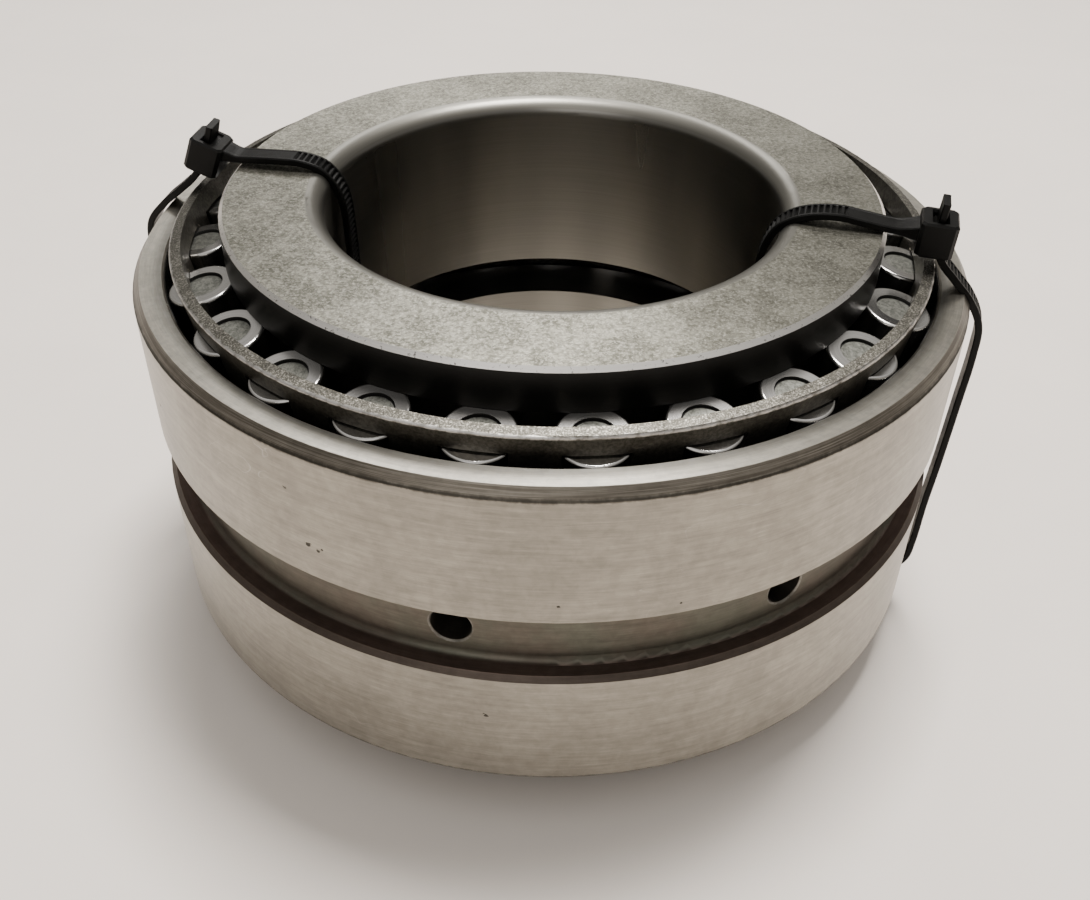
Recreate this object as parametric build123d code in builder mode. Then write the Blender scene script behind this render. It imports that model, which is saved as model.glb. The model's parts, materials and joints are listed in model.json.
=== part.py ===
"""Double-row tapered roller bearing with a one-piece double cup.

The origin is on the bore axis, at the middle of the bearing's width. +Z runs along the bore.
The upper row (side = +1) opens upward and the lower row (side = -1) is its mirror image.
"""
from build123d import *
import math
import os

# ---- Driving dimensions, in millimetres and degrees ----
outer_diameter = 168.275
bore_diameter = 92.075
overall_width = 92.075
cone_gap = 9.525
cone_stand_out = 10.3175

# Cup: end faces, outer edges, oil groove and oil holes
cup_face_width = 6.2375
cup_edge_radial = 1.5
cup_edge_axial = 2.1
groove_width = 15.2
groove_depth = 4.6
groove_edge_chamfer = 1.0
groove_floor_fillet = 1.2
oil_hole_diameter = 7.5
oil_hole_break = 0.35
oil_hole_count = 8
oil_hole_first_azimuth = -102.0
oil_hole_run_out = 1.0

# Raceways and rollers
cup_angle = 12.5
raceway_mouth_chamfer = 0.5
roller_count = 24
roller_diameter = 13.5
roller_row_spacing = 17.0
roller_inset = 0.6
raceway_run_out = 1.2
upper_row_azimuth = -84.2
lower_row_azimuth = -77.0

# Roller ends
roller_corner_radius = 0.6
roller_end_land = 2.6
roller_end_recess = 0.6
roller_small_chamfer = 0.7
roller_small_land = 2.4

# Cone ribs and edges
rib_height = 1.6
rib_edge_chamfer = 0.8
bore_edge_radius = 3.5
small_rib_height = 1.2
small_rib_chamfer = 0.6
bore_small_chamfer = 2.0
undercut_width = 1.6
undercut_depth = 0.5

# Stamped cage
cage_thickness = 2.4
cage_offset = 3.2
cage_overhang = 4.6
cage_flange_reach = 4.0
cage_bend_radius = 2.5
cage_edge_radius = 0.5

# Clearances
race_clearance = 0.1
rib_clearance = 0.1
small_end_clearance = 0.5
pocket_side_clearance = 0.3
pocket_end_clearance = 0.4
cage_flange_clearance = 0.9

# How close to a stated radius a corner lies when it is picked for a fillet or chamfer
pick_tolerance = 0.01

# ---- Derived sizes ----
outer_radius = outer_diameter / 2
bore_radius = bore_diameter / 2
mouth_radius = outer_radius - cup_face_width
half_width = overall_width / 2
half_cup = half_width - cone_stand_out
cone_small_face = cone_gap / 2
half_groove = groove_width / 2
groove_floor_radius = outer_radius - groove_depth

# All raceways and roller axes of a row meet at one apex on the bearing axis.
alpha = math.radians(cup_angle)
contact_height = half_cup - roller_inset
contact_radius = mouth_radius - roller_inset * math.tan(alpha)
nu = math.asin(roller_diameter / 2 * math.sin(alpha) / contact_radius)
gamma = alpha - nu
apex_height = contact_height - contact_radius / math.tan(alpha)
large_end = contact_radius * math.cos(nu) / math.sin(alpha)
small_end = (roller_row_spacing / 2 - apex_height) / math.cos(gamma)
pitch_angle = 360 / roller_count


def on_axis_frame(along, outward):
    """Radius and height of a point given along the roller axis and square to it."""
    radius = along * math.sin(gamma) + outward * math.cos(gamma)
    height = apex_height + along * math.cos(gamma) - outward * math.sin(gamma)
    return radius, height


def on_ray(height, angle):
    """Radius at a height of the raceway line that leaves the apex at an angle."""
    return (height - apex_height) * math.tan(angle)


def ring_face(points, side):
    """Closed outline in the radius and height plane, mirrored for the lower row."""
    return [(radius, side * height) for radius, height in points]


def corners_at(section, radius):
    """Corners of a section that lie at a radius."""
    return section.vertices().filter_by_position(Axis.X, radius - pick_tolerance, radius + pick_tolerance)


# ---- Cup ----
def make_cup():
    """Outer ring with two raceways, a wide oil groove and radial oil holes."""
    roller_foot = on_axis_frame(small_end, roller_diameter / 2)[1]
    race_end_height = roller_foot - raceway_run_out
    land_radius = on_ray(race_end_height, alpha)
    wall_height = half_groove - groove_edge_chamfer
    upper = [
        (land_radius, race_end_height),
        (mouth_radius, half_cup),
        (outer_radius - cup_edge_radial, half_cup),
        (outer_radius, half_cup - cup_edge_axial),
        (outer_radius, half_groove),
        (outer_radius - groove_edge_chamfer, wall_height),
        (groove_floor_radius, wall_height),
    ]
    lower = [(radius, -height) for radius, height in reversed(upper)]
    hole_planes = []
    for index in range(oil_hole_count):
        azimuth = math.radians(oil_hole_first_azimuth + index * 360 / oil_hole_count)
        outward = Vector(math.cos(azimuth), math.sin(azimuth), 0)
        hole_planes.append(Plane(origin=outward * groove_floor_radius, x_dir=(0, 0, 1), z_dir=outward))

    with BuildPart() as cup:
        with BuildSketch(Plane.XZ) as section:
            with BuildLine():
                Polyline(*upper, *lower, close=True)
            make_face()
            fillet(corners_at(section, groove_floor_radius), groove_floor_fillet)
            chamfer(corners_at(section, mouth_radius), raceway_mouth_chamfer)
        revolve(axis=Axis.Z)
        with Locations(*hole_planes):
            CounterSinkHole(
                radius=oil_hole_diameter / 2,
                counter_sink_radius=oil_hole_diameter / 2 + oil_hole_break,
                depth=groove_floor_radius - land_radius + oil_hole_run_out,
                counter_sink_angle=90,
            )
    cup.part.label = "cup"
    export_step(cup.part, "parts/cup.step")


# ---- Cones ----
def make_cone(name, side):
    """Inner ring with a back-face rib, a raceway and a small front rib."""
    rib_plane = large_end + rib_clearance
    race_outward = -rib_plane * math.tan(nu)
    rib_face = on_axis_frame(rib_plane, race_outward + rib_height / math.cos(gamma))
    rib_radius = rib_face[0]
    race_top = on_axis_frame(rib_plane - undercut_width, -(rib_plane - undercut_width) * math.tan(nu))
    race_bottom_along = small_end - small_end_clearance
    race_bottom = on_axis_frame(race_bottom_along, -race_bottom_along * math.tan(nu))
    small_rib_radius = race_bottom[0] + small_rib_height
    small_rib_outward = -race_bottom_along * math.tan(nu) + small_rib_height / math.cos(gamma)
    outline = [
        (bore_radius, half_width),
        (rib_radius, half_width),
        rib_face,
        on_axis_frame(rib_plane, race_outward - undercut_depth),
        on_axis_frame(rib_plane - undercut_width, race_outward - undercut_depth),
        race_top,
        race_bottom,
        on_axis_frame(race_bottom_along, small_rib_outward),
        (small_rib_radius, cone_small_face),
        (bore_radius, cone_small_face),
    ]
    with BuildPart() as cone:
        with BuildSketch(Plane.XZ) as section:
            with BuildLine():
                Polyline(*ring_face(outline, side), close=True)
            make_face()
            by_height = corners_at(section, bore_radius).sort_by(Axis.Y)
            back_corner = by_height[-1] if side > 0 else by_height[0]
            front_corner = by_height[0] if side > 0 else by_height[-1]
            fillet(back_corner, bore_edge_radius)
            chamfer(front_corner, bore_small_chamfer)
            rib_corners = corners_at(section, rib_radius).sort_by(Axis.Y)
            chamfer(rib_corners[-1 if side > 0 else 0], rib_edge_chamfer)
            front_rib = section.vertices().group_by(Axis.Y)[0 if side > 0 else -1].sort_by(Axis.X)[-1]
            chamfer(front_rib, small_rib_chamfer)
        revolve(axis=Axis.Z)
    cone.part.label = name
    export_step(cone.part, f"parts/{name}.step")


# ---- Rollers ----
def roller_plane(side, azimuth):
    """Plane at the row's apex: its X runs square to a roller's axis and its Y along it."""
    angle = math.radians(azimuth)
    outward = Vector(
        math.cos(gamma) * math.cos(angle),
        math.cos(gamma) * math.sin(angle),
        -side * math.sin(gamma),
    )
    normal = Vector(side * math.sin(angle), -side * math.cos(angle), 0)
    return Plane(origin=(0, 0, side * apex_height), x_dir=outward, z_dir=normal)


def make_roller(name, side, azimuth):
    """Tapered roller with a ground end land around a shallow recess."""
    radius_large = large_end * math.tan(nu) - race_clearance
    radius_small = small_end * math.tan(nu) - race_clearance
    recess_radius = radius_large - roller_end_land
    small_recess_radius = radius_small - roller_small_land
    plane = roller_plane(side, azimuth)
    with BuildPart() as roller:
        with BuildSketch(plane) as section:
            with BuildLine():
                Polyline(
                    (0, small_end + roller_end_recess),
                    (small_recess_radius, small_end + roller_end_recess),
                    (small_recess_radius, small_end),
                    (radius_small, small_end),
                    (radius_large, large_end),
                    (recess_radius, large_end),
                    (recess_radius, large_end - roller_end_recess),
                    (0, large_end - roller_end_recess),
                    close=True,
                )
            make_face()
            rim = section.vertices().sort_by(Axis.X)[-2:].sort_by(Axis.Y)
            fillet(rim[-1], roller_corner_radius)
            chamfer(rim[0], roller_small_chamfer)
        revolve(axis=Axis(plane.origin, plane.y_dir))
    roller.part.label = name
    export_step(roller.part, f"parts/{name}.step")


# ---- Cages ----
def make_cage(name, side, first_azimuth):
    """Stamped cage: a conical band with one pocket for each roller and an inward flange."""
    inner_offset = cage_offset - cage_thickness / 2
    outer_offset = cage_offset + cage_thickness / 2
    flange_top = small_end - cage_flange_clearance
    flange_bottom = flange_top - cage_thickness
    band_top = large_end + cage_overhang
    flange_inner = inner_offset - cage_flange_reach
    outline = [
        on_axis_frame(band_top, inner_offset),
        on_axis_frame(band_top, outer_offset),
        on_axis_frame(flange_bottom, outer_offset),
        on_axis_frame(flange_bottom, flange_inner),
        on_axis_frame(flange_top, flange_inner),
        on_axis_frame(flange_top, inner_offset),
    ]
    pocket_small = small_end - pocket_end_clearance
    pocket_large = large_end + pocket_end_clearance
    small_radius = pocket_small * math.tan(nu) + pocket_side_clearance
    large_radius = pocket_large * math.tan(nu) + pocket_side_clearance
    with BuildPart() as cage:
        with BuildSketch(Plane.XZ) as section:
            with BuildLine():
                Polyline(*ring_face(outline, side), close=True)
            make_face()
            bend = section.vertices().sort_by(Axis.Y)[0 if side > 0 else -1]
            fillet(bend, cage_bend_radius)
            rim_edge = section.vertices().sort_by(Axis.X)[-1]
            fillet(rim_edge, cage_edge_radius)
        revolve(axis=Axis.Z)
        for index in range(roller_count):
            plane = roller_plane(side, first_azimuth + index * pitch_angle)
            with BuildSketch(plane):
                with BuildLine():
                    Polyline(
                        (0, pocket_small),
                        (small_radius, pocket_small),
                        (large_radius, pocket_large),
                        (0, pocket_large),
                        close=True,
                    )
                make_face()
            revolve(axis=Axis(plane.origin, plane.y_dir), mode=Mode.SUBTRACT)
    cage.part.label = name
    export_step(cage.part, f"parts/{name}.step")


# ---- The assembly ----
os.makedirs("parts", exist_ok=True)
make_cup()
for row, side, first_azimuth in (("upper", 1, upper_row_azimuth), ("lower", -1, lower_row_azimuth)):
    make_cone(f"{row}_cone", side)
    make_cage(f"{row}_cage", side, first_azimuth)
    for index in range(roller_count):
        make_roller(f"{row}_roller_{index + 1:02d}", side, first_azimuth + index * pitch_angle)
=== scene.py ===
"""Studio scene of a double-row tapered roller bearing that stands on a pale table.

The bearing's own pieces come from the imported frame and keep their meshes. This file dresses them
in procedural steels, adds the two nylon cable ties that hold the cones in the cup for shipping,
and sets the table, the light and the camera. Lengths are metres unless a name ends in _mm.
"""
import json
import logging
import math
from dataclasses import dataclass, field
from enum import Enum
from functools import cached_property

import bmesh
import bpy
import numpy as np
from bpy.types import Material, Node, NodeSocket as Socket, NodeTree as Tree
from mathutils import Matrix, Vector


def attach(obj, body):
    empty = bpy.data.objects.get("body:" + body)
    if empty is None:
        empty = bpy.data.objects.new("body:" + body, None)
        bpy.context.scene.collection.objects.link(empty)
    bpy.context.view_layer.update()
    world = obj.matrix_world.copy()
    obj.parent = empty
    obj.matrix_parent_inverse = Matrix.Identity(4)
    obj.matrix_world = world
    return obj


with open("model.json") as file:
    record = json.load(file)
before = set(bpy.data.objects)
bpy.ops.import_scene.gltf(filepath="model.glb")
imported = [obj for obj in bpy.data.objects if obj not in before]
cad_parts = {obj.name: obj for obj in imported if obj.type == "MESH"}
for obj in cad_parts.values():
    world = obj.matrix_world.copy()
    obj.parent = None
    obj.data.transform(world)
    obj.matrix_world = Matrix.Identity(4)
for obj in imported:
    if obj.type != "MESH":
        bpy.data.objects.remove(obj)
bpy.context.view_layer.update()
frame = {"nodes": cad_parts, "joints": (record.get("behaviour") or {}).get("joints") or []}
LOG = logging.getLogger("bearing")
MM = 0.001
TO_MM = 1000.0
Colour = tuple[float, float, float, float]
Source = "Socket | float | tuple"
Sockets = "bpy.types.bpy_prop_collection"
ORIGIN = (0.0, 0.0, 0.0)


class Row(Enum):
    """The two rows of rollers, valued by the side of the middle plane that they stand on."""

    UPPER = 1
    LOWER = -1

    @property
    def word(self) -> str:
        """The row's name as the frame's nodes spell it."""
        return self.name.lower()


def warm(level: float, warmth: float = 0.0) -> Colour:
    """Gives a grey with a warm or cool cast.

    Args:
        level: Linear brightness, from 0 to 1.
        warmth: Share by which red goes up and blue goes down.

    Returns:
        The colour with full alpha.
    """
    return (level * (1 + warmth), level, level * (1 - 1.6 * warmth), 1.0)


# ---------------------------------------------------------------- node graphs


@dataclass
class Graph:
    """A small desk for laying out one node tree."""

    tree: Tree

    def add(self, kind: str, **settings: object) -> Node:
        """Adds a node and sets its properties.

        Args:
            kind: Blender's name for the node type.
            **settings: Property values by name.

        Returns:
            The new node.
        """
        node = self.tree.nodes.new(kind)
        for name, value in settings.items():
            setattr(node, name, value)
        return node

    def feed(self, socket: Socket, source: Source) -> None:
        """Links a socket to another one, or sets its plain value."""
        if isinstance(source, Socket):
            self.tree.links.new(source, socket)
        else:
            socket.default_value = source

    def math(self, operation: str, *terms: Source) -> Socket:
        """Adds a math node.

        Args:
            operation: Blender's name for the operation.
            *terms: Its one to three inputs.

        Returns:
            The result's socket.
        """
        node = self.add("ShaderNodeMath", operation=operation)
        for socket, term in zip(node.inputs, terms):
            self.feed(socket, term)
        return node.outputs[0]

    def plus(self, first: Source, second: Source) -> Socket:
        """Adds two values."""
        return self.math("ADD", first, second)

    def minus(self, first: Source, second: Source) -> Socket:
        """Takes the second value from the first."""
        return self.math("SUBTRACT", first, second)

    def times(self, first: Source, *others: Source) -> Socket:
        """Multiplies values, from the last two back to the first."""
        second = self.times(*others) if len(others) > 1 else others[0]
        return self.math("MULTIPLY", first, second)

    def diagonal(self, first: Source, second: Source) -> Socket:
        """Gives the distance that two values at right angles make."""
        return self.math("SQRT", self.plus(*(self.math("POWER", side, 2.0) for side in (first, second))))

    def split(self, vector: Source) -> list[Socket]:
        """Splits a vector into its three values."""
        node = self.add("ShaderNodeSeparateXYZ")
        self.feed(node.inputs[0], vector)
        return list(node.outputs)

    def remap(self, value: Source, low: Source, high: Source, to_low: Source = 0.0,
              to_high: Source = 1.0, smooth: bool = False) -> Socket:
        """Maps one range of a value to another, held at both ends.

        Args:
            value: The value to map.
            low: Start of its range.
            high: End of its range.
            to_low: Result at the start.
            to_high: Result at the end.
            smooth: Whether the change eases in and out.

        Returns:
            The mapped value's socket.
        """
        kind = "SMOOTHSTEP" if smooth else "LINEAR"
        node = self.add("ShaderNodeMapRange", interpolation_type=kind, clamp=True)
        for socket, source in zip(node.inputs, (value, low, high, to_low, to_high)):
            self.feed(socket, source)
        return node.outputs[0]

    def tint(self, share: Source, first: Source, second: Source, mode: str = "MIX") -> Socket:
        """Mixes two colours.

        Args:
            share: How much of the second colour shows.
            first: The colour underneath.
            second: The colour on top.
            mode: Blender's name for the way of mixing.

        Returns:
            The mixed colour's socket.
        """
        node = self.add("ShaderNodeMix", data_type="RGBA", blend_type=mode)
        self.feed(node.inputs[0], share)
        self.feed(node.inputs[6], first)
        self.feed(node.inputs[7], second)
        return node.outputs[2]

    def between(self, share: Source, first: Source, second: Source) -> Socket:
        """Mixes two plain values by a share."""
        node = self.add("ShaderNodeMix", data_type="FLOAT")
        self.feed(node.inputs[0], share)
        self.feed(node.inputs[2], first)
        self.feed(node.inputs[3], second)
        return node.outputs[0]

    def noise(self, spot: Source, scale: Source, detail: float = 2.0, rough: float = 0.5,
              twist: float = 0.0) -> Socket:
        """Adds a noise texture.

        Args:
            spot: Where it is read.
            scale: Its frequency.
            detail: Number of finer layers.
            rough: Strength of the finer layers.
            twist: Distortion.

        Returns:
            The noise value's socket.
        """
        node = self.add("ShaderNodeTexNoise")
        self.feed(node.inputs["Vector"], spot)
        self.feed(node.inputs["Scale"], scale)
        node.inputs["Detail"].default_value = detail
        node.inputs["Roughness"].default_value = rough
        node.inputs["Distortion"].default_value = twist
        return node.outputs["Fac"]

    def place(self, group: Tree, **inputs: Source) -> Sockets:
        """Places a shader group with its own values.

        Args:
            group: The group's node tree.
            **inputs: Values or links by the input's name, with underscores for spaces.

        Returns:
            The group's outputs.
        """
        node = self.add("ShaderNodeGroup", node_tree=group)
        for name, source in inputs.items():
            self.feed(node.inputs[name.replace("_", " ")], source)
        return node.outputs


def start_group(name: str, inputs: dict[str, float | tuple], values: str,
                vectors: str = "") -> tuple[Graph, Sockets, Sockets]:
    """Starts a shader group with named sockets.

    Args:
        name: The group's name.
        inputs: Default value of each input, by name. A tuple makes a vector socket.
        values: Names of the outputs that are plain values, with commas between them.
        vectors: Names of the outputs that are vectors, in the same way.

    Returns:
        The graph, the inputs that it is given and the outputs that it feeds.
    """
    tree = bpy.data.node_groups.new(name, "ShaderNodeTree")
    for label, value in inputs.items():
        kind = "NodeSocketVector" if isinstance(value, tuple) else "NodeSocketFloat"
        tree.interface.new_socket(label, in_out="INPUT", socket_type=kind).default_value = value
    for labels, kind in ((values, "NodeSocketFloat"), (vectors, "NodeSocketVector")):
        for label in filter(None, labels.split(", ")):
            tree.interface.new_socket(label, in_out="OUTPUT", socket_type=kind)
    graph = Graph(tree)
    return graph, graph.add("NodeGroupInput").outputs, graph.add("NodeGroupOutput").inputs


class Effects:
    """The shader groups that the finishes share, each built once, when it is first placed."""

    @cached_property
    def ring(self) -> Tree:
        """Group that says where a spot lies round the bearing's axis, in millimetres."""
        graph, _, result = start_group("ring_place", {}, "Radius, Height, Level, Facing", "Spot")
        spot = graph.add("ShaderNodeVectorMath", operation="SCALE")
        graph.feed(spot.inputs[0], graph.add("ShaderNodeTexCoord").outputs["Object"])
        spot.inputs["Scale"].default_value = TO_MM
        split = graph.split(spot.outputs[0])
        across = graph.math("POWER", split[0], 2.0)
        along = graph.math("POWER", split[1], 2.0)
        normal = graph.split(graph.add("ShaderNodeNewGeometry").outputs["True Normal"])
        graph.feed(result["Spot"], spot.outputs[0])
        graph.feed(result["Radius"], graph.math("SQRT", graph.plus(across, along)))
        graph.feed(result["Height"], split[2])
        graph.feed(result["Level"], graph.math("ABSOLUTE", split[2]))
        graph.feed(result["Facing"], graph.math("ABSOLUTE", normal[2]))
        return graph.tree

    @cached_property
    def lay(self) -> Tree:
        """Group of fine grinding lines that run round the axis."""
        inputs = {"Spot": ORIGIN, "Across": 0.0, "Fineness": 4.0, "Drift": 0.02}
        graph, given, result = start_group("ground_lay", inputs, "Lines")
        split = graph.split(given["Spot"])
        place = graph.add("ShaderNodeCombineXYZ")
        graph.feed(place.inputs[0], graph.times(split[0], given["Drift"]))
        graph.feed(place.inputs[1], graph.times(split[1], given["Drift"]))
        graph.feed(place.inputs[2], graph.times(given["Across"], given["Fineness"]))
        graph.feed(result["Lines"], graph.remap(graph.noise(place.outputs[0], 1.0, 3.0, 0.6), 0.25, 0.75))
        return graph.tree

    @cached_property
    def mottle(self) -> Tree:
        """Group of soft patches with small flecks, as an oil film leaves on ground steel."""
        inputs = {"Spot": ORIGIN, "Patch size": 6.0, "Fleck size": 0.8}
        graph, given, result = start_group("mottle", inputs, "Patches, Flecks")
        for name, size, detail, low, high in (("Patches", "Patch size", 5.0, 0.36, 0.64),
                                              ("Flecks", "Fleck size", 3.0, 0.48, 0.66)):
            frequency = graph.math("DIVIDE", 1.0, given[size])
            noise = graph.noise(given["Spot"], frequency, detail, 0.62, 0.3)
            graph.feed(result[name], graph.remap(noise, low, high, smooth=True))
        return graph.tree

    @cached_property
    def marks(self) -> Tree:
        """Group of rare small pits and hairline scratches from handling."""
        inputs = {"Spot": ORIGIN, "Pit spacing": 14.0, "Pit size": 0.07, "Pit share": 0.3,
                  "Scratch spacing": 40.0}
        graph, given, result = start_group("handling_marks", inputs, "Pits, Scratches")
        wobble = graph.add("ShaderNodeVectorMath", operation="MULTIPLY_ADD")
        jitter = graph.add("ShaderNodeTexNoise")
        graph.feed(jitter.inputs["Vector"], given["Spot"])
        jitter.inputs["Scale"].default_value = 0.9
        graph.feed(wobble.inputs[0], jitter.outputs["Color"])
        wobble.inputs[1].default_value = (1.5, 1.5, 0.8)
        graph.feed(wobble.inputs[2], given["Spot"])
        cells = graph.add("ShaderNodeTexVoronoi")
        graph.feed(cells.inputs["Vector"], wobble.outputs[0])
        graph.feed(cells.inputs["Scale"], graph.math("DIVIDE", 1.0, given["Pit spacing"]))
        chance = graph.add("ShaderNodeSeparateColor")
        graph.feed(chance.inputs[0], cells.outputs["Color"])
        chosen = graph.math("LESS_THAN", chance.outputs[0], given["Pit share"])
        size = graph.times(given["Pit size"], graph.plus(0.4, chance.outputs[1]))
        near = graph.remap(cells.outputs["Distance"], size, graph.times(size, 0.55))
        graph.feed(result["Pits"], graph.times(chosen, near))
        hair = graph.add("ShaderNodeMapping")
        graph.feed(hair.inputs["Vector"], given["Spot"])
        hair.inputs["Rotation"].default_value = (0.5, 0.3, 0.9)
        hair.inputs["Scale"].default_value = (0.12, 1.0, 0.7)
        strand = graph.noise(hair.outputs[0], 0.12, 2.0, 0.4, 0.4)
        line = graph.remap(graph.math("ABSOLUTE", graph.minus(strand, 0.5)), 0.0008, 0.0022, 1.0, 0.0)
        rare = graph.noise(given["Spot"], graph.math("DIVIDE", 1.0, given["Scratch spacing"]))
        graph.feed(result["Scratches"], graph.times(line, graph.remap(rare, 0.55, 0.62)))
        return graph.tree

    @cached_property
    def band(self) -> Tree:
        """Group that is 1 where a value lies between two others, with soft ends."""
        inputs = {"Value": 0.0, "Low": 0.0, "High": 1.0, "Soft": 0.05}
        graph, given, result = start_group("band", inputs, "Mask")
        value, soft = given["Value"], given["Soft"]
        rise = graph.remap(value, graph.minus(given["Low"], soft), graph.plus(given["Low"], soft),
                           smooth=True)
        fall = graph.remap(value, graph.minus(given["High"], soft), graph.plus(given["High"], soft), 1.0,
                           0.0, smooth=True)
        graph.feed(result["Mask"], graph.times(rise, fall))
        return graph.tree

    @cached_property
    def worn_line(self) -> Tree:
        """Group for a thin line of wavering width along an edge, which breaks up along its length."""
        inputs = {"Spot": ORIGIN, "Distance": 1.0, "Width": 0.3, "Breaks": 0.5}
        graph, given, result = start_group("worn_line", inputs, "Mask")
        noise = graph.noise(given["Spot"], 0.55, 4.0, 0.65)
        width = graph.times(given["Width"], graph.remap(noise, 0.3, 0.7, 0.5, 1.5))
        near = graph.remap(graph.math("ABSOLUTE", given["Distance"]), width, 0.0, smooth=True)
        gaps = graph.remap(noise, 0.42, 0.5, graph.minus(1.0, given["Breaks"]), 1.0)
        graph.feed(result["Mask"], graph.times(near, gaps))
        return graph.tree

    @cached_property
    def nick(self) -> Tree:
        """Group for one small ragged dent round a given point."""
        inputs = {"Spot": ORIGIN, "Centre": ORIGIN, "Size": 1.0}
        graph, given, result = start_group("nick", inputs, "Mask")
        apart = graph.add("ShaderNodeVectorMath", operation="DISTANCE")
        graph.feed(apart.inputs[0], given["Spot"])
        graph.feed(apart.inputs[1], given["Centre"])
        ragged = graph.remap(graph.noise(given["Spot"], 1.3, 3.0, 0.6), 0.3, 0.7, 0.3, 1.7)
        share = graph.math("DIVIDE", apart.outputs["Value"], given["Size"])
        graph.feed(result["Mask"], graph.remap(graph.times(share, ragged), 1.1, 0.8))
        return graph.tree

    @cached_property
    def pitch_fold(self) -> Tree:
        """Group that folds a ring of equal places onto the nearest one."""
        inputs = {"Spot": ORIGIN, "First azimuth": 0.0, "Pitch": 0.26}
        graph, given, result = start_group("pitch_fold", inputs, "Aside, Outward, Nearest")
        split = graph.split(given["Spot"])
        azimuth = graph.math("ARCTAN2", split[1], split[0])
        turned = graph.minus(azimuth, given["First azimuth"])
        pitch = given["Pitch"]
        nearest = graph.times(graph.math("ROUND", graph.math("DIVIDE", turned, pitch)), pitch)
        apart = graph.minus(turned, nearest)
        radius = graph.diagonal(split[0], split[1])
        graph.feed(result["Aside"], graph.times(radius, graph.math("SINE", apart)))
        graph.feed(result["Outward"], graph.times(radius, graph.math("COSINE", apart)))
        graph.feed(result["Nearest"], nearest)
        return graph.tree

    @cached_property
    def roller_place(self) -> Tree:
        """Group that says where a spot lies on its own roller: along its axis and off it."""
        inputs = {"Spot": ORIGIN, "First azimuth": 0.0, "Pitch": 0.26, "Tilt": 0.2, "Side": 1.0,
                  "Apex": -300.0}
        graph, given, result = start_group("roller_place", inputs, "Along, Off axis", "Own")
        fold = graph.place(self.pitch_fold, Spot=given["Spot"], Pitch=given["Pitch"],
                           First_azimuth=given["First azimuth"])
        aside, outward = fold["Aside"], fold["Outward"]
        split = graph.split(given["Spot"])
        height = graph.minus(graph.times(split[2], given["Side"]), given["Apex"])
        sine, cosine = (graph.math(name, given["Tilt"]) for name in ("SINE", "COSINE"))
        along = graph.plus(graph.times(outward, sine), graph.times(height, cosine))
        off = graph.minus(graph.times(outward, cosine), graph.times(height, sine))
        own = graph.add("ShaderNodeCombineXYZ")
        graph.feed(own.inputs[0], off)
        graph.feed(own.inputs[1], aside)
        graph.feed(own.inputs[2], graph.plus(along, graph.times(fold["Nearest"], 40.0)))
        graph.feed(result["Along"], along)
        graph.feed(result["Off axis"], graph.diagonal(off, aside))
        graph.feed(result["Own"], own.outputs[0])
        return graph.tree


@dataclass
class Coat:
    """A material under way: its graph, its shader and the values that its layers have changed so far."""

    name: str
    colour: Source
    rough: Source
    height: Source = 0.0
    graph: Graph = field(init=False)
    shader: Node = field(init=False)
    material: Material = field(init=False)

    def __post_init__(self) -> None:
        """Makes the material with an empty Principled shader."""
        self.material = bpy.data.materials.new(self.name)
        self.material.use_nodes = True
        self.graph = Graph(self.material.node_tree)
        self.shader = self.material.node_tree.nodes["Principled BSDF"]

    def layer(self, mask: Source, colour: Source = None, rough: Source = None) -> None:
        """Lays a colour, a roughness or both over what is there.

        Args:
            mask: Where the layer shows, from 0 to 1.
            colour: Its colour, if it has one.
            rough: Its roughness, if it has one.
        """
        if colour is not None:
            self.colour = self.graph.tint(mask, self.colour, colour)
        if rough is not None:
            self.rough = self.graph.between(mask, self.rough, rough)

    def shade(self, share: Source, low: float, high: float) -> None:
        """Darkens and lightens the colour by a pattern.

        Args:
            share: The pattern, from 0 to 1.
            low: Brightness factor at 0.
            high: Brightness factor at 1.
        """
        factor = self.graph.remap(share, 0.0, 1.0, low, high)
        grey = self.graph.add("ShaderNodeCombineColor")
        for socket in grey.inputs[:3]:
            self.graph.feed(socket, factor)
        self.colour = self.graph.tint(1.0, self.colour, grey.outputs[0], "MULTIPLY")

    def raise_by(self, pattern: Source, amount: Source) -> None:
        """Adds a pattern to the height that the bump reads."""
        self.height = self.graph.plus(self.height, self.graph.times(pattern, amount))

    def finish(self, metal: float, bump: float, depth_mm: float) -> Material:
        """Joins colour, roughness and height to the shader.

        Args:
            metal: The shader's plain Metallic value.
            bump: Strength of the bump.
            depth_mm: Depth that a height of 1 stands for, in millimetres.

        Returns:
            The finished material.
        """
        self.graph.feed(self.shader.inputs["Base Color"], self.colour)
        self.graph.feed(self.shader.inputs["Roughness"], self.rough)
        self.shader.inputs["Metallic"].default_value = metal
        relief = self.graph.add("ShaderNodeBump")
        relief.inputs["Strength"].default_value = bump
        relief.inputs["Distance"].default_value = depth_mm * MM
        self.graph.feed(relief.inputs["Height"], self.height)
        self.graph.feed(self.shader.inputs["Normal"], relief.outputs[0])
        return self.material


def dress(node: str, material: Material) -> None:
    """Gives one carried-over part its material.

    Args:
        node: The part's name in the frame.
        material: What it is made of.
    """
    part = frame["nodes"][node]
    if not part.material_slots:
        part.data.materials.append(material)
    for place in part.material_slots:
        place.material = material
    LOG.info("dressed %s in %s", node, material.name)


def brush(coat: Coat, amount: float) -> None:
    """Stretches the highlights across grinding lines that run round the axis.

    Args:
        coat: The material under way.
        amount: Strength of the stretch.
    """
    tangent = coat.graph.add("ShaderNodeTangent", direction_type="RADIAL", axis="Z")
    coat.graph.feed(coat.shader.inputs["Tangent"], tangent.outputs[0])
    coat.shader.inputs["Anisotropic"].default_value = amount
    coat.shader.inputs["Anisotropic Rotation"].default_value = 0.25


# ---------------------------------------------------------------- the steel parts


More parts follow.
